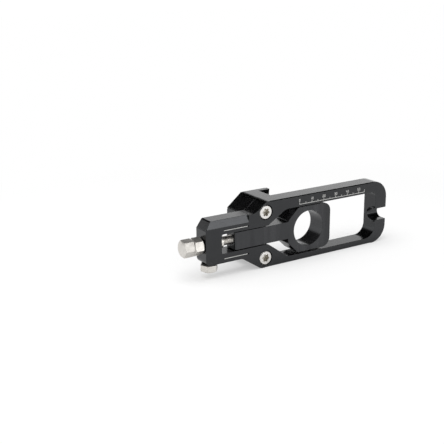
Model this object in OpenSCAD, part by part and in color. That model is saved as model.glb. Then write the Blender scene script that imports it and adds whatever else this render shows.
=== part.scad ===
// Chain adjuster for a motorcycle rear axle. A slotted frame carries a sliding block
// with the axle bore. A captive adjusting screw threads into the long tail of the
// block and moves it along the frame. A forked clamp block is screwed to the back of
// the frame, and the end plate of the swingarm sits in the slot between the two.
// Millimetres. X runs along the frame, Y from the outer face inwards, Z is up.

/* [Frame] */
// Distance from the bore at rest to the right end
frame_right = 67.5; // [60:0.5:80]
// Distance from the bore at rest to the left end face
frame_left = 79; // [70:0.2:95]
// Height of the slotted part
frame_height = 44; // [38:0.5:52]
// Thickness of frame, arms and end block
frame_depth = 11.5; // [9:0.5:16]
// Radius of the two outer corners at the right end
corner_radius = 12; // [4:0.5:16]
// Underside of the arms and end block
arm_bottom = 9.4; // [5:0.2:12]
// Top of the arms and end block
arm_top = 37.4; // [33:0.2:40]
// Height of the sloping face along the upper arm
arm_slope_height = 4.6; // [1:0.2:6]
// Depth of that sloping face
arm_slope_depth = 1.6; // [0.5:0.1:4]
// Length of the cut at the upper left corner
corner_cut = 4; // [2:0.2:7]
// Height of that cut
corner_drop = 5.4; // [2:0.2:8]
// Distance from the bore where the upper shoulder leaves the top
upper_start = 34.4; // [32:0.2:38]
// Distance from the bore where it meets the upper arm
upper_end = 42.4; // [40:0.2:48]
// Distance from the bore where the lower shoulder leaves the underside
lower_start = 38; // [34:0.5:42]
// Distance from the bore where it meets the lower arm
lower_end = 52.4; // [46:0.2:58]
// Side of the small 45 degree edge breaks on the outer face
edge_break = 0.5; // [0.2:0.1:1]

/* [Window] */
// Lower edge of the window
window_bottom = 4.1; // [3:0.1:8]
// Upper edge of the window
window_top = 36.7; // [30:0.1:42]
// Right wall of the window, from the bore at rest
window_right = 57.9; // [45:0.1:62]
// Radius of the window's lower right corner
window_radius = 8; // [3:0.5:12]
// Radius of the window's upper right corner
window_top_radius = 3.5; // [1:0.5:8]
// Where the top of the window begins to narrow, from the bore at rest
taper_start = 18.8; // [17:0.2:26]
// Where the bottom of the window begins to narrow
low_taper_start = 16.6; // [14:0.2:26]
// Where the window has narrowed to the channel
taper_end = 32.6; // [28:0.2:40]
// Closed end of the channel
channel_end = 67.5; // [60:0.5:74]
// Clearance above and below the tail of the slider
channel_gap = 0.6; // [0.3:0.1:1]

/* [Notch] */
// Width of the round bottomed notch in the right bar
notch_width = 8.4; // [4:0.1:14]
// Depth of the notch from the outer face
notch_depth = 8.5; // [4:0.1:10]
// Height of the middle of the notch
notch_height = 20.2; // [15:0.1:26]
// How far the two lips beside the notch stand into the window
lip_reach = 0.9; // [0.4:0.1:2]

/* [Slider] */
// Diameter of the axle bore
axle_bore = 24; // [16:0.5:28]
// Height of the bore
bore_height = 20.7; // [18:0.1:24]
// Height of the tail and the adjusting screw
screw_height = 21.8; // [18:0.1:24]
// Thickness of the head, which stands out of the frame's inner face
head_depth = 14; // [9:0.5:20]
// Right edge of the slider head, from the bore
head_right = 18; // [15:0.1:24]
// Left edge of the slider head, from the bore
head_left = 16.5; // [14:0.1:22]
// Gap above the head
head_gap = 0.8; // [0.4:0.1:1.5]
// Gap below the head
head_low_gap = 1.2; // [0.4:0.1:2]
// Length of the sloping corners at the left of the head
head_slope = 8; // [3:0.5:11]
// Radius of the right corners of the head
head_radius = 6; // [2:0.5:9]
// Height of the tail
tail_height = 11.4; // [8:0.1:14]
// Left end of the tail, from the bore
tail_end = 57.6; // [50:0.2:62]
// End of the threaded hole, from the bore
thread_bottom = 14.5; // [13.5:0.1:20]

/* [Adjusting screw] */
// Thread diameter
screw_size = 6; // [5:1:8]
// Radial clearance where the screw turns
running_fit = 0.05; // [0.02:0.01:0.1]
// Width across the flats of the hexagon
screw_flats = 10; // [8:0.5:14]
// Outer end of the hexagon, from the bore
hex_end = 93.2; // [85:0.2:105]
// Inner end of the hexagon, from the bore
hex_start = 86.2; // [82:0.2:95]
// Inner tip of the screw, from the bore
screw_tip = 20; // [18:0.5:40]
// Width across the flats of the sleeve between hexagon and end block
sleeve_flats = 10; // [8:0.5:13]
// Diameter of the thrust collar in the channel
collar_diameter = 8.6; // [7:0.1:12]
// Width of the thrust collar
collar_width = 2.2; // [1.5:0.1:4]
// Gap between turning parts and the end block
thrust_gap = 0.3; // [0.1:0.05:0.5]

/* [Clamp block] */
// Width of the slot for the swingarm plate
slot_width = 13.5; // [6:0.5:20]
// Thickness of the inner fork plate
fork_thickness = 4; // [2:0.25:8]
// Left face of the clamp block, from the bore
block_left = 45.3; // [42:0.1:50]
// Closed end of the swingarm slot, from the bore
slot_end = 23; // [18:0.5:30]
// Bottom of the fork opening, from the bore
fork_opening = 38.5; // [37.5:0.1:41]
// Tip of the upper horn, from the bore
upper_horn = 14.3; // [8:0.1:20]
// Tip of the lower horn, from the bore
lower_horn = 16.2; // [8:0.1:20]

/* [Fasteners] */
// Distance of the two clamp screws from the bore
clamp_x = 34.3; // [30:0.1:38]
// Height of the lower clamp screw
clamp_low = 6.4; // [5:0.1:9]
// Height of the upper clamp screw
clamp_high = 37; // [33:0.1:39]
// Head diameter of the clamp screws
clamp_head = 9.3; // [8:0.1:12]
// Distance of the lock bolt from the bore
lock_x = 73.6; // [71:0.1:76]
// Width across the flats of the lock bolt
lock_flats = 10; // [8:0.5:13]
// Height of the lock bolt head
lock_head = 4.6; // [3:0.1:6]

/* [Engraving] */
// Depth of the engraved scale and lines
engrave_depth = 0.25; // [0.1:0.05:0.5]
// Width of an engraved line
engrave_width = 0.34; // [0.2:0.02:0.6]
// Distance between the numbered marks
scale_step = 10; // [5:5:10]
// Zero of the scale, from the bore at rest
scale_zero = 7.8; // [0:0.1:20]
// Height of the base line of the scale
scale_base = 38.1; // [37:0.1:40]

/* [Hidden] */
$fn = 96;
e = 0.01;
total_depth = frame_depth + slot_width + fork_thickness;
fork_front = frame_depth + slot_width;
centre_x = (frame_right - hex_end) / 2;
hex_turn = 6;
lock_turn = -7;
axis_y = frame_depth / 2;
front_y = min(0, axis_y - screw_flats / sqrt(3) * cos(hex_turn));
screw_r = screw_size / 2;
hole_r = screw_r + running_fit;
channel_half = tail_height / 2 + channel_gap;
head_bottom = window_bottom + head_low_gap;
head_top = window_top - head_gap;
slider_front = 0.2;
slider_back = frame_depth - 0.4;
washer_thickness = 0.8;
scale_length = 5.5 * scale_step;
shoulder_r = 6;
block_low_left = arm_bottom * (block_left - lower_start) / (lower_end - lower_start);
block_high_left = frame_height
    - (frame_height - arm_top) * (block_left - upper_start) / (upper_end - upper_start);

// Corner helpers: unit vector, turning sense, and the small area between a corner
// and the arc that rounds it
function unit(v) = v / norm(v);
function turn(a, p, b) = (p[0] - a[0]) * (b[1] - p[1]) - (p[1] - a[1]) * (b[0] - p[0]);
function half_angle(u, v) = acos(u * v) / 2;

module corner_area(a, p, b, r) {
    u = unit(a - p);
    v = unit(b - p);
    h = half_angle(u, v);
    c = p + unit(u + v) * r / sin(h);
    difference() {
        polygon([p, p + u * r / tan(h), c, p + v * r / tan(h)]);
        translate(c) circle(r = r);
    }
}

// Polygon given anticlockwise, with its own radius at each corner (0 stays sharp)
module rounded(points, radii) {
    n = len(points);
    difference() {
        union() {
            polygon(points);
            for (i = [0 : n - 1])
                if (radii[i] > 0
                    && turn(points[(i + n - 1) % n], points[i], points[(i + 1) % n]) < 0)
                    corner_area(points[(i + n - 1) % n], points[i], points[(i + 1) % n], radii[i]);
        }
        for (i = [0 : n - 1])
            if (radii[i] > 0
                && turn(points[(i + n - 1) % n], points[i], points[(i + 1) % n]) > 0)
                corner_area(points[(i + n - 1) % n], points[i], points[(i + 1) % n], radii[i]);
    }
}

// Outline in X and Z, made solid from y0 to y1
module solid_y(y0, y1) {
    translate([0, y1, 0]) rotate([90, 0, 0]) linear_extrude(height = y1 - y0) children();
}

// Cylinder along X, Y or Z between two positions
module rod_x(x0, x1, r) { translate([x0, 0, 0]) rotate([0, 90, 0]) cylinder(h = x1 - x0, r = r); }
module rod_y(y0, y1, r) { translate([0, y0, 0]) rotate([-90, 0, 0]) cylinder(h = y1 - y0, r = r); }

// Carries to the axis of the adjusting screw
module on_axis() translate([0, axis_y, screw_height]) children();

// Hexagonal prism along Z with the corners of its top turned off, and those of its foot
// where a height is given for it
module hex_head(flats, height, foot = 0) {
    corner = flats / sqrt(3);
    intersection() {
        cylinder(h = height, r = corner, $fn = 6);
        union() {
            translate([0, 0, foot]) cylinder(h = height - 1 - foot, r = corner + 0.2);
            translate([0, 0, height - 1]) cylinder(h = 1, r1 = corner + 0.2, r2 = corner - 1.5);
            if (foot > 0) cylinder(h = foot, r1 = corner - 1.5, r2 = corner + 0.2);
        }
    }
}

module frame_outline() {
    rounded([
        [-frame_left, arm_bottom], [-lower_end, arm_bottom], [-lower_start, 0], [frame_right, 0],
        [frame_right, frame_height], [-upper_start, frame_height], [-upper_end, arm_top],
        [-frame_left + corner_cut, arm_top], [-frame_left, arm_top - corner_drop]
    ], [3.5, 4, shoulder_r, corner_radius, corner_radius, shoulder_r, 9, 1.5, 1.5]);
}

module window_outline() {
    rounded([
        [-channel_end, screw_height - channel_half], [-taper_end, screw_height - channel_half],
        [-low_taper_start, window_bottom], [window_right, window_bottom],
        [window_right, window_top], [-taper_start, window_top],
        [-taper_end, screw_height + channel_half], [-channel_end, screw_height + channel_half]
    ], [1.2, 3, 4, window_radius, window_top_radius, 8, 6, 1.2]);
}

// Notch across the right bar, open towards the outer face
module notch() {
    r = notch_width / 2;
    translate([window_right - 2, notch_depth - r, notch_height]) {
        rod_x(0, frame_right - window_right + 4, r);
        translate([0, -notch_depth, -r])
            cube([frame_right - window_right + 4, notch_depth, notch_width]);
    }
}

module lips() {
    for (s = [-1, 1])
        translate([window_right - lip_reach, 0.8, notch_height + s * (notch_width / 2 + 0.6) - 0.6])
            cube([lip_reach + 1, 2.4, 1.2]);
}

// Figures built from seven straight strokes, in the order top, upper right, lower
// right, bottom, lower left, upper left, middle
strokes = [
    [1, 1, 1, 1, 1, 1, 0], [0, 1, 1, 0, 0, 0, 0], [1, 1, 0, 1, 1, 0, 1],
    [1, 1, 1, 1, 0, 0, 1], [0, 1, 1, 0, 0, 1, 1], [1, 0, 1, 1, 0, 1, 1]
];
figure_w = 0.95;
figure_h = 1.75;

module figure(n) {
    t = engrave_width * 0.75;
    s = strokes[n];
    for (i = [0, 3, 6])
        if (s[i] == 1)
            translate([0, i == 0 ? figure_h - t : i == 3 ? 0 : (figure_h - t) / 2])
                square([figure_w, t]);
    for (i = [1, 2, 4, 5])
        if (s[i] == 1)
            translate([i < 3 ? figure_w - t : 0, i == 1 || i == 5 ? figure_h / 2 - t / 2 : 0])
                square([t, figure_h / 2 + t / 2]);
}

module mark_lines() {
    t = engrave_width;
    translate([-scale_zero - t / 2, scale_base - t / 2]) square([scale_length + t, t]);
    for (k = [0 : 11])
        translate([-scale_zero + k * scale_step / 2 - t / 2, scale_base])
            square([t, k == 11 ? 1.8 : k % 2 == 0 ? 1.35 : 1.15]);
}

module figure_lines() {
    translate([-scale_zero - figure_w / 2, scale_base + 1.75]) figure(0);
    for (k = [1 : 5])
        translate([-scale_zero + k * scale_step, scale_base + 1.75]) {
            translate([-figure_w - 0.2, 0]) figure(k);
            translate([0.2, 0]) figure(0);
        }
}

// Long marks on the two arms, each with a small dimple at its end
arm_marks = [12.1, 30.4];

module arm_outlines() {
    for (z = arm_marks) translate([-65.8, z - 0.2]) square([17.3, 0.4]);
}

module arm_dimples() {
    for (z = arm_marks) translate([-47.8, 0, z]) rod_y(-1, 0.5, 0.5);
}

module clamp_places() {
    for (z = [clamp_low, clamp_high]) translate([-clamp_x, 0, z]) children();
}

// Sloping cut along a straight edge of the outer face, up the top (side 1) or bottom (side -1)
module slope_x(x0, x1, z, side, depth, height) {
    translate([x0, 0, z]) rotate([90, 0, 90]) linear_extrude(height = x1 - x0)
        polygon([[-depth, -2 * side * height], [2 * depth, side * height], [-depth, side * height]]);
}

// Slotted frame with its two arms and the end block
module outer_frame() color([0.09, 0.09, 0.1]) place() {
    difference() {
        union() {
            difference() {
                solid_y(0, frame_depth) frame_outline();
                solid_y(-1, frame_depth + 1) window_outline();
            }
            lips();
        }
        notch();
        // Sloping face along the upper arm
        slope_x(-frame_left - 1, -upper_end - 5, arm_top, 1, arm_slope_depth, arm_slope_height);
        slope_x(-upper_start + 3, frame_right - corner_radius - 0.3, frame_height, 1,
            edge_break, edge_break);
        slope_x(-lower_start + 3, frame_right - corner_radius - 0.3, 0, -1,
            edge_break, edge_break);
        // Adjusting screw, lock bolt and clamp screws
        on_axis() rod_x(-frame_left - 1, -channel_end + 1, hole_r);
        translate([-lock_x, axis_y, arm_bottom - 1])
            cylinder(h = screw_height - arm_bottom + 1, r = hole_r);
        clamp_places() {
            rod_y(-1, 3.2, clamp_head / 2 + 0.35);
            rod_y(-1, frame_depth + 1, hole_r + 0.15);
        }
        // Engraved scale and lines
        solid_y(-1, engrave_depth) {
            mark_lines();
            figure_lines();
            arm_outlines();
        }
        arm_dimples();
    }
}

// Light filling of the engraving, flush with the outer face
module scale_marks() color([0.85, 0.85, 0.83]) place() solid_y(0, engrave_depth) mark_lines();
module scale_figures() color([0.85, 0.85, 0.83]) place() solid_y(0, engrave_depth) figure_lines();
module arm_lines() color([0.85, 0.85, 0.83]) place() solid_y(0, engrave_depth) arm_outlines();

module block_outline() {
    rounded([
        [-block_left, block_low_left], [-lower_start, 0], [-slot_end, 0],
        [-slot_end, frame_height], [-upper_start, frame_height], [-block_left, block_high_left]
    ], [3, shoulder_r, 0, 0, shoulder_r, 4]);
}

module fork_outline() {
    rounded([
        [-block_left, block_low_left], [-lower_start, 0], [-lower_horn, 0],
        [-lower_horn - 0.4, 1.5], [-slot_end - 5, 5], [-slot_end - 5, frame_height - 9],
        [-upper_horn - 0.4, frame_height - 4.6], [-upper_horn, frame_height],
        [-upper_start, frame_height], [-block_left, block_high_left]
    ], [3, shoulder_r, 0.6, 0.6, 0, 0, 1, 0.8, shoulder_r, 4]);
}

module fork_opening_outline() {
    rounded([
        [-fork_opening, screw_height - 6.8], [-slot_end - 1, screw_height - 13.4],
        [0, screw_height - 13.4], [0, screw_height + 13.4],
        [-slot_end - 1, screw_height + 13.4], [-fork_opening, screw_height + 6.8]
    ], [1.5, 4, 0, 0, 4, 1.5]);
}

// Forked block behind the frame; its plate and two horns close the swingarm slot
module clamp_block() color([0.1, 0.1, 0.11]) place() {
    difference() {
        union() {
            solid_y(frame_depth, fork_front) block_outline();
            solid_y(fork_front, total_depth) fork_outline();
        }
        solid_y(frame_depth - 1, total_depth + 1) fork_opening_outline();
        clamp_places() rod_y(frame_depth - 1, total_depth + 1, hole_r);
    }
}

module head_outline() {
    rounded([
        [-head_left, head_bottom + head_slope - 0.3], [-head_left + head_slope, head_bottom],
        [head_right, head_bottom], [head_right, head_top],
        [-head_left + head_slope, head_top], [-head_left, head_top - head_slope + 0.3]
    ], [1.4, 2, head_radius, head_radius, 2, 1.4]);
}

// Sliding block: head with the axle bore, and the long threaded tail
module axle_slider() color([0.12, 0.12, 0.13]) place() {
    difference() {
        union() {
            solid_y(slider_front, slider_front + head_depth) head_outline();
            translate([0, 0, screw_height - tail_height / 2])
                linear_extrude(height = tail_height)
                    rounded([
                        [-tail_end, slider_front], [-head_left + 3, slider_front],
                        [-head_left + 3, slider_back], [-tail_end, slider_back]
                    ], [1.6, 0, 0, 1.6]);
        }
        translate([0, 0, bore_height]) {
            rod_y(-1, slider_front + head_depth + 1, axle_bore / 2);
            translate([0, slider_front + head_depth - 0.6 + e, 0]) rotate([-90, 0, 0])
                cylinder(h = 0.6, r1 = axle_bore / 2, r2 = axle_bore / 2 + 0.6);
        }
        on_axis() {
            rod_x(-tail_end - 1, -thread_bottom, hole_r);
            translate([-tail_end - e, 0, 0]) rotate([0, 90, 0])
                cylinder(h = 0.7, r1 = hole_r + 0.7, r2 = hole_r);
        }
    }
}

// Captive adjusting screw with its hexagon outside the end block
module adjuster_screw() color([0.75, 0.75, 0.76]) place() on_axis() {
    translate([-hex_start, 0, 0]) rotate([0, -90, 0]) rotate([0, 0, 90 - hex_turn])
        hex_head(screw_flats, hex_end - hex_start);
    rod_x(-hex_start - e, -screw_tip - 0.8, screw_r);
    translate([-screw_tip - 0.8, 0, 0]) rotate([0, 90, 0])
        cylinder(h = 0.8, r1 = screw_r, r2 = screw_r - 0.7);
}

module round_screw(x0, x1) {
    difference() {
        children();
        rod_x(x0 - 1, x1 + 1, screw_r + 0.01);
    }
}

// Hexagonal sleeve between the hexagon and the end block
module spacer_sleeve() color([0.78, 0.77, 0.75]) place() on_axis()
    round_screw(-hex_start, -frame_left)
        translate([-frame_left - thrust_gap, 0, 0]) rotate([0, -90, 0])
            rotate([0, 0, 90 - hex_turn - 10])
                hex_head(sleeve_flats, hex_start - frame_left - thrust_gap - e, 1);

// Collar that holds the screw endways, inside the channel
module thrust_collar() color([0.7, 0.69, 0.67]) place() on_axis()
    round_screw(-channel_end, -channel_end + collar_width + 1)
        rod_x(-channel_end + thrust_gap, -channel_end + thrust_gap + collar_width,
            collar_diameter / 2);

// Bolt under the end block that locks the adjusting screw
module lock_bolt() color([0.7, 0.7, 0.7]) place()
    translate([-lock_x, axis_y, 0]) {
        translate([0, 0, arm_bottom - washer_thickness])
            rotate([180, 0, lock_turn]) hex_head(lock_flats, lock_head);
        translate([0, 0, arm_bottom - washer_thickness - e])
            cylinder(h = screw_height - screw_r - 0.4 - arm_bottom + washer_thickness + e,
                r = screw_r);
    }

// Dark washer between the lock bolt and the end block
module lock_washer() color([0.08, 0.08, 0.08]) place()
    translate([-lock_x, axis_y, arm_bottom - washer_thickness]) difference() {
        cylinder(h = washer_thickness, r = lock_flats / 2 - 0.4);
        translate([0, 0, -1]) cylinder(h = washer_thickness + 2, r = hole_r);
    }

// Clamp screw with a flat head and a six-lobed socket
module clamp_screw() {
    translate([0, 0.1, 0]) rotate([-90, 0, 0]) {
        difference() {
            union() {
                cylinder(h = 0.5, r1 = clamp_head / 2 - 0.5, r2 = clamp_head / 2);
                translate([0, 0, 0.5 - e]) cylinder(h = 2.5, r = clamp_head / 2);
                cylinder(h = fork_front + 0.4, r = screw_r);
            }
            translate([0, 0, -1]) linear_extrude(height = 3.4) {
                circle(r = 2);
                for (k = [0 : 5]) rotate(k * 60 + 8) translate([1.98, 0]) circle(r = 0.75);
            }
        }
    }
}

module upper_clamp_screw() color([0.8, 0.79, 0.77]) place()
    translate([-clamp_x, 0, clamp_high]) clamp_screw();

module lower_clamp_screw() color([0.8, 0.79, 0.77]) place()
    translate([-clamp_x, 0, clamp_low]) clamp_screw();

module place() translate([-centre_x, -(total_depth + front_y) / 2, 0]) children();

outer_frame();
clamp_block();
axle_slider();
adjuster_screw();
spacer_sleeve();
thrust_collar();
lock_bolt();
lock_washer();
upper_clamp_screw();
lower_clamp_screw();
scale_marks();
scale_figures();
arm_lines();
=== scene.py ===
import math

import bmesh
import bpy
from mathutils import Matrix, Vector


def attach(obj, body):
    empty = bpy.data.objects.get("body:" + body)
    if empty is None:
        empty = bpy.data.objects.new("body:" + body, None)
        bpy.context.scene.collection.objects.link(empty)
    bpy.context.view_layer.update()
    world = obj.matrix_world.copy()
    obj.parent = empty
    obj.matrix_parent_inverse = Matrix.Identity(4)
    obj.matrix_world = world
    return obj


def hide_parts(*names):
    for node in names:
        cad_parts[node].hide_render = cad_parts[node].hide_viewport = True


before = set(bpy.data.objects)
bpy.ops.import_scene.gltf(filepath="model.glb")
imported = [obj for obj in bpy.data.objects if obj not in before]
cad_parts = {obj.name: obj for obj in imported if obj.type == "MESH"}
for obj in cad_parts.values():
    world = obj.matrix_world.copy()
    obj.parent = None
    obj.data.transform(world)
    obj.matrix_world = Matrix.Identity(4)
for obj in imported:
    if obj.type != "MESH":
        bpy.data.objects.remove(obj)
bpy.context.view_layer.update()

MM = 0.001


def node_box(name):
    """The lowest and the highest corner of a CAD node."""
    points = [vertex.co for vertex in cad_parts[name].data.vertices]
    low = Vector([min(point[axis] for point in points) for axis in range(3)])
    high = Vector([max(point[axis] for point in points) for axis in range(3)])
    return low, high


# Camera: measured from the frame's long edges and the marks of the scale
CAMERA_AZIMUTH = math.radians(31.92)
CAMERA_ELEVATION = math.radians(17.21)
CAMERA_ROLL = math.radians(-0.54)
CAMERA_DISTANCE = 505.87 * MM
CAMERA_TARGET = Vector((-54.48, -14.5, 36.37)) * MM
CAMERA_LENS = 66.95


def place_camera():
    """The camera stands in front and to the left, turned by its azimuth, elevation and roll."""
    a, e, r = CAMERA_AZIMUTH, CAMERA_ELEVATION, CAMERA_ROLL
    back = Vector((-math.sin(a) * math.cos(e), -math.cos(a) * math.cos(e), math.sin(e)))
    level_right = (-back).cross(Vector((0, 0, 1))).normalized()
    level_up = back.cross(level_right)
    right = math.cos(r) * level_right + math.sin(r) * level_up
    up = -math.sin(r) * level_right + math.cos(r) * level_up
    data = bpy.data.cameras.new("camera")
    data.lens = CAMERA_LENS
    data.sensor_width = 36
    data.clip_start = 0.01
    camera = bpy.data.objects.new("camera", data)
    bpy.context.scene.collection.objects.link(camera)
    turn = Matrix((right, up, back)).transposed().to_4x4()
    camera.matrix_world = Matrix.Translation(CAMERA_TARGET + CAMERA_DISTANCE * back) @ turn
    bpy.context.scene.camera = camera


# Node trees

ANY_WAY = (1, 1, 1)
ALONG_FRAME = (0.06, 1, 1)
ALONG_SCREW = (0.2, 1, 1)
ACROSS_SLIDER = (1, 0.08, 0.08)
TEXTURE_LOW = 0.3
TEXTURE_HIGH = 0.7
BEVEL_SAMPLES = 6
# The colour sockets of a mix node, which share their names with its number sockets
MIX_FIRST = 6
MIX_SECOND = 7
MIX_RESULT = 2


class Tree:
    """A node tree, emptied, with short calls to add a node and to link two sockets."""

    def __init__(self, owner, output):
        owner.use_nodes = True
        self.tree = owner.node_tree
        self.tree.nodes.clear()
        self.output = self.add(output)

    def add(self, kind, **values):
        """Adds a node. Each value goes to the node's property or else its socket of that name."""
        node = self.tree.nodes.new(kind)
        for key, value in values.items():
            if key in node.bl_rna.properties:
                setattr(node, key, value)
            else:
                node.inputs[key.replace("_", " ").title()].default_value = value
        return node

    def link(self, source, out, target, into):
        self.tree.links.new(source.outputs[out], target.inputs[into])

    def remap(self, source, out, low, high, to_low, to_high):
        """A number that goes from to_low to to_high as the source goes from low to high."""
        node = self.add("ShaderNodeMapRange", from_min=low, from_max=high, to_min=to_low, to_max=to_high)
        self.link(source, out, node, "Value")
        return node


class Nodes(Tree):
    """A material's node tree, round one principled shader."""

    def __init__(self, name):
        self.material = bpy.data.materials.new(name)
        super().__init__(self.material, "ShaderNodeOutputMaterial")
        self.shader = self.add("ShaderNodeBsdfPrincipled")
        self.link(self.shader, "BSDF", self.output, "Surface")

    def position(self, scale=ANY_WAY):
        """Places on the object, in metres times scale."""
        coords = self.add("ShaderNodeTexCoord")
        mapping = self.add("ShaderNodeMapping", scale=scale)
        self.link(coords, "Object", mapping, "Vector")
        return mapping

    def noise(self, place, scale, detail=2.0):
        node = self.add("ShaderNodeTexNoise", scale=scale, detail=detail)
        self.link(place, "Vector", node, "Vector")
        return node

    def ramp(self, texture, low, high):
        """Turns a texture's value into a colour between low and high."""
        node = self.add("ShaderNodeValToRGB")
        first, last = node.color_ramp.elements
        first.position, last.position = TEXTURE_LOW, TEXTURE_HIGH
        first.color = (*low, 1)
        last.color = (*high, 1)
        self.link(texture, "Fac", node, "Fac")
        return node

    def roughness(self, texture, low, high):
        """Turns a texture's value into a roughness between low and high."""
        node = self.remap(texture, "Fac", TEXTURE_LOW, TEXTURE_HIGH, low, high)
        self.link(node, "Result", self.shader, "Roughness")

    def bump(self, texture, strength, distance, edge=0.0):
        """Fine relief on the surface, with the edges softened by a radius of edge."""
        node = self.add("ShaderNodeBump", strength=strength, distance=distance)
        self.link(texture, "Fac", node, "Height")
        if edge:
            soft = self.add("ShaderNodeBevel", samples=BEVEL_SAMPLES, radius=edge)
            self.link(soft, "Normal", node, "Normal")
        self.link(node, "Normal", self.shader, "Normal")


# Materials

# Painted shade within a clamp screw's socket: the depths where it begins and where it is full, and the
# radii where it is full and where it ends.
SOCKET_SHADE_START = 0.25 * MM
SOCKET_SHADE_FULL = 0.9 * MM
SOCKET_SHADE_RADIUS = 2.65 * MM
SOCKET_SHADE_RIM = 2.95 * MM
ANODISED_GLASS = 1.5
ALUMINIUM_EDGE = 0.3 * MM
STEEL_EDGE = 0.2 * MM
FINE_RELIEF = 0.02 * MM


def black_anodised(name, bands, pale):
    """Satin black, milled along the frame, with broad faint bands as pale as the pale value."""
    m = Nodes(name)
    m.shader.inputs["Metallic"].default_value = 0.0
    m.shader.inputs["IOR"].default_value = ANODISED_GLASS
    m.shader.inputs["Specular Tint"].default_value = (0.96, 0.985, 1.03, 1)
    grain = m.noise(m.position(), 5200, 3)
    cloud = m.noise(m.position(bands), 170, 4)
    milled = m.noise(m.position(ALONG_FRAME), 3600, 2)
    tint = m.ramp(cloud, (0.0004, 0.0004, 0.0005), (pale, pale, 1.06 * pale))
    m.link(tint, "Color", m.shader, "Base Color")
    m.roughness(milled, 0.16, 0.25)
    m.bump(grain, 0.2, FINE_RELIEF, edge=ALUMINIUM_EDGE)
    return m.material


def stainless():
    """Steel with turning marks along the screw."""
    m = Nodes("stainless_steel")
    m.shader.inputs["Metallic"].default_value = 1.0
    lines = m.noise(m.position(ALONG_SCREW), 1500, 3)
    cloud = m.noise(m.position(), 140, 2)
    tint = m.ramp(cloud, (0.55, 0.53, 0.5), (0.68, 0.66, 0.625))
    m.link(tint, "Color", m.shader, "Base Color")
    m.roughness(lines, 0.34, 0.46)
    m.bump(lines, 0.12, FINE_RELIEF, edge=STEEL_EDGE)
    return m.material


def screw_head(name):
    """Turned steel, with painted shade that darkens it within the socket of the clamp screw of this
    name.
    """
    low, high = node_box(name)
    centre = (low + high) / 2
    m = Nodes("screw_head")
    m.shader.inputs["Metallic"].default_value = 1.0
    place = m.position()
    middle = m.add("ShaderNodeVectorMath", operation="SUBTRACT")
    middle.inputs[1].default_value = (centre.x, 0, centre.z)
    m.link(place, "Vector", middle, 0)
    split = m.add("ShaderNodeSeparateXYZ")
    m.link(middle, "Vector", split, 0)
    flat = m.add("ShaderNodeCombineXYZ")
    m.link(split, "X", flat, "X")
    m.link(split, "Z", flat, "Z")
    radius = m.add("ShaderNodeVectorMath", operation="LENGTH")
    m.link(flat, "Vector", radius, 0)
    deep = m.remap(split, "Y", low.y + SOCKET_SHADE_START, low.y + SOCKET_SHADE_FULL, 0, 1)
    near = m.remap(radius, "Value", SOCKET_SHADE_RADIUS, SOCKET_SHADE_RIM, 1, 0)
    socket_shade = m.add("ShaderNodeMath", operation="MULTIPLY")
    m.link(deep, "Result", socket_shade, 0)
    m.link(near, "Result", socket_shade, 1)
    lines = m.noise(place, 1500, 3)
    cloud = m.noise(place, 140, 2)
    tint = m.ramp(cloud, (0.66, 0.645, 0.62), (0.8, 0.785, 0.76))
    mix = m.add("ShaderNodeMix", data_type="RGBA")
    # Painted shade: within the socket the steel takes this darker colour in place of the shade that
    # falls in the recess.
    mix.inputs[MIX_SECOND].default_value = (0.5, 0.475, 0.42, 1)
    m.link(socket_shade, "Value", mix, "Factor")
    m.link(tint, "Color", mix, MIX_FIRST)
    m.link(mix, MIX_RESULT, m.shader, "Base Color")
    m.roughness(lines, 0.24, 0.4)
    m.bump(lines, 0.12, FINE_RELIEF, edge=STEEL_EDGE)
    return m.material


# A near-black matt washer between the lock bolt's head and the block.
def near_black_washer():
    m = Nodes("black_washer")
    m.shader.inputs["Roughness"].default_value = 0.7
    grain = m.noise(m.position(), 3000)
    tint = m.ramp(grain, (0.006, 0.006, 0.006), (0.012, 0.012, 0.012))
    m.link(tint, "Color", m.shader, "Base Color")
    m.bump(grain, 0.2, 0.03 * MM)
    return m.material


def engraving_fill():
    m = Nodes("engraving_fill")
    m.shader.inputs["Roughness"].default_value = 0.6
    grain = m.noise(m.position(), 2500, 3)
    tint = m.ramp(grain, (0.4, 0.4, 0.385), (0.6, 0.6, 0.58))
    m.link(tint, "Color", m.shader, "Base Color")
    m.bump(grain, 0.3, 0.04 * MM)
    return m.material


def dress(material, *names):
    for name in names:
        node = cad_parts[name]
        node.data.materials.clear()
        node.data.materials.append(material)


# The adjusting screw's real thread, in place of the plain cylinder

HEXAGON_LENGTH = 7.0 * MM
TIP_GAP = 0.05 * MM
THREAD_RADIUS = 2.99 * MM
THREAD_DEPTH = 0.55 * MM
THREAD_PITCH = 1.0 * MM
THREAD_CREST = 0.14
THREAD_FLANK = 0.66
FADE_IN = 0.8 * MM
FADE_OUT = 0.3 * MM
IN_HEXAGON = 0.2 * MM
RING_POINTS = 40
PITCH_STEPS = 8


def thread_height(turns):
    """Share of the thread's depth cut away at a point, from 0 on the crest to 1 in the root."""
    t = abs((turns % 1.0) - 0.5) * 2
    return min(1.0, max(0.0, (t - THREAD_CREST) / THREAD_FLANK))


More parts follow.
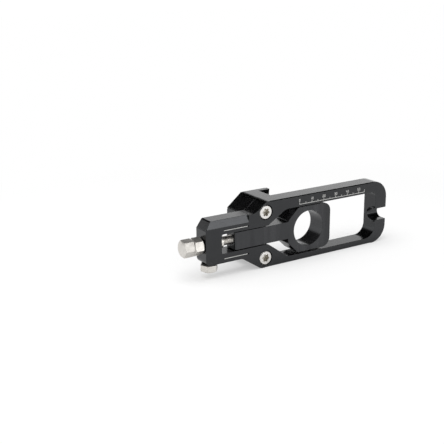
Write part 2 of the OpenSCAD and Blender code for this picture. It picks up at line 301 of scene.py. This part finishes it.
def threaded_rod(mesh, x0, x1, centre):
    """Rod along X from x0 to x1 with a single right-hand thread that fades out at both ends."""
    count = round((x1 - x0) / THREAD_PITCH * PITCH_STEPS)
    rings = []
    for i in range(count + 1):
        x = x0 + (x1 - x0) * i / count
        fade = min(1.0, (x - x0) / FADE_IN, (x1 - x) / FADE_OUT)
        ring = []
        for k in range(RING_POINTS):
            angle = 2 * math.pi * k / RING_POINTS
            cut = thread_height((x - x0) / THREAD_PITCH - k / RING_POINTS) * fade
            r = THREAD_RADIUS - THREAD_DEPTH * cut
            y = centre.y - r * math.sin(angle)
            z = centre.z + r * math.cos(angle)
            ring.append(mesh.verts.new((x, y, z)))
        rings.append(ring)
    made = []
    for a, b in zip(rings, rings[1:]):
        for k in range(RING_POINTS):
            n = (k + 1) % RING_POINTS
            made.append(mesh.faces.new((a[k], b[k], b[n], a[n])))
    made.append(mesh.faces.new(rings[0]))
    made.append(mesh.faces.new(reversed(rings[-1])))
    bmesh.ops.recalc_face_normals(mesh, faces=made)


def adjusting_screw(material):
    """The screw's hexagon from its CAD node, on a rod with a real thread."""
    low, high = node_box("adjuster_screw")
    hexagon_end = low.x + HEXAGON_LENGTH
    mesh = bmesh.new()
    mesh.from_mesh(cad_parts["adjuster_screw"].data)
    shaft = [v for v in mesh.verts if v.co.x > hexagon_end + IN_HEXAGON / 2]
    bmesh.ops.delete(mesh, geom=shaft, context="VERTS")
    loose = [v for v in mesh.verts if not v.link_faces]
    bmesh.ops.delete(mesh, geom=loose, context="VERTS")
    threaded_rod(mesh, hexagon_end - IN_HEXAGON, high.x - TIP_GAP, (low + high) / 2)
    data = bpy.data.meshes.new("adjusting_screw")
    mesh.to_mesh(data)
    mesh.free()
    data.materials.append(material)
    screw = bpy.data.objects.new("adjusting_screw", data)
    bpy.context.scene.collection.objects.link(screw)
    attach(screw, "adjuster")
    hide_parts("adjuster_screw")


# Studio

FLOOR_SIZE = 6.0
FLOOR_PALE = 0.86
SHADOW_LIFT = 0.42
WHITE_FROM = 0.13
WHITE_FULL = 0.3
BAND_TOP = math.sin(math.radians(19))
BAND_END = math.sin(math.radians(26))
BAND_LEVEL = 1.2
ABOVE_BAND = 0.004
FILL_LEVEL = 0.7
BACKGROUND = 1.06


def white_floor():
    """Pale matt floor. Towards its edge the camera and the metal see it turn plain white, and
    the camera sees its shadows lifted by a share of white."""
    mesh = bpy.data.meshes.new("floor")
    h = FLOOR_SIZE / 2
    mesh.from_pydata([(-h, -h, 0), (h, -h, 0), (h, h, 0), (-h, h, 0)], [], [(0, 1, 2, 3)])
    floor = bpy.data.objects.new("floor", mesh)
    bpy.context.scene.collection.objects.link(floor)
    material = bpy.data.materials.new("floor")
    t = Tree(material, "ShaderNodeOutputMaterial")
    matt = t.add("ShaderNodeBsdfDiffuse")
    matt.inputs["Color"].default_value = (FLOOR_PALE, FLOOR_PALE, FLOOR_PALE, 1)
    white = t.add("ShaderNodeEmission")
    white.inputs["Color"].default_value = (1, 1, 1, 1)
    white.inputs["Strength"].default_value = 1
    mix = t.add("ShaderNodeMixShader")
    place = t.add("ShaderNodeTexCoord")
    length = t.add("ShaderNodeVectorMath", operation="LENGTH")
    path = t.add("ShaderNodeLightPath")
    seen = t.add("ShaderNodeMath", operation="MAXIMUM")
    both = t.add("ShaderNodeMath", operation="MULTIPLY")
    lift = t.add("ShaderNodeMath", operation="MULTIPLY")
    lift.inputs[1].default_value = SHADOW_LIFT
    most = t.add("ShaderNodeMath", operation="MAXIMUM")
    t.link(place, "Object", length, 0)
    far = t.remap(length, "Value", WHITE_FROM, WHITE_FULL, 0, 1)
    t.link(path, "Is Camera Ray", seen, 0)
    t.link(path, "Is Glossy Ray", seen, 1)
    t.link(seen, "Value", both, 0)
    t.link(far, "Result", both, 1)
    t.link(path, "Is Camera Ray", lift, 0)
    t.link(both, "Value", most, 0)
    t.link(lift, "Value", most, 1)
    t.link(most, "Value", mix, "Fac")
    t.link(matt, "BSDF", mix, 1)
    t.link(white, "Emission", mix, 2)
    t.link(mix, "Shader", t.output, "Surface")
    mesh.materials.append(material)


def studio_world():
    """White to the camera. The metal sees a bright band round the horizon and almost nothing
    above it. Everything else is lit at the fill level."""
    world = bpy.data.worlds.new("studio")
    bpy.context.scene.world = world
    t = Tree(world, "ShaderNodeOutputWorld")
    shade = t.add("ShaderNodeBackground")
    shade.inputs["Color"].default_value = (1, 1, 1, 1)
    path = t.add("ShaderNodeLightPath")
    place = t.add("ShaderNodeTexCoord")
    split = t.add("ShaderNodeSeparateXYZ")
    t.link(place, "Generated", split, 0)
    band = t.remap(split, "Z", BAND_TOP, BAND_END, BAND_LEVEL, ABOVE_BAND)
    band.interpolation_type = "SMOOTHSTEP"
    metal = t.add("ShaderNodeMix")
    metal.inputs["A"].default_value = FILL_LEVEL
    eye = t.add("ShaderNodeMix")
    eye.inputs["B"].default_value = BACKGROUND
    t.link(path, "Is Glossy Ray", metal, "Factor")
    t.link(band, "Result", metal, "B")
    t.link(path, "Is Camera Ray", eye, "Factor")
    t.link(metal, "Result", eye, "A")
    t.link(eye, "Result", shade, "Strength")
    t.link(shade, "Background", t.output, "Surface")


def soft_lamp(name, place, target, size, power):
    data = bpy.data.lights.new(name, "AREA")
    data.shape = "SQUARE"
    data.size = size
    data.energy = power
    lamp = bpy.data.objects.new(name, data)
    bpy.context.scene.collection.objects.link(lamp)
    lamp.location = place
    lamp.rotation_euler = (Vector(target) - Vector(place)).to_track_quat("-Z", "Y").to_euler()


place_camera()

dress(black_anodised("black_anodised", ANY_WAY, 0.003), "outer_frame", "clamp_block")
dress(black_anodised("slider_anodised", ACROSS_SLIDER, 0.022), "axle_slider")
steel = stainless()
dress(steel, "adjuster_screw", "spacer_sleeve", "thrust_collar", "lock_bolt")
adjusting_screw(steel)
for clamp_screw in ("upper_clamp_screw", "lower_clamp_screw"):
    dress(screw_head(clamp_screw), clamp_screw)
dress(near_black_washer(), "lock_washer")
dress(engraving_fill(), "scale_marks", "scale_figures", "arm_lines")

white_floor()
studio_world()
soft_lamp("overhead", place=(-0.25, -0.1, 0.9), target=(0, 0, 0), size=0.9, power=6)
soft_lamp("front", place=(0.42, -0.76, 0.27), target=(-0.04, -0.01, 0.03), size=0.34, power=0.9)
bpy.context.scene.view_settings.view_transform = "Standard"
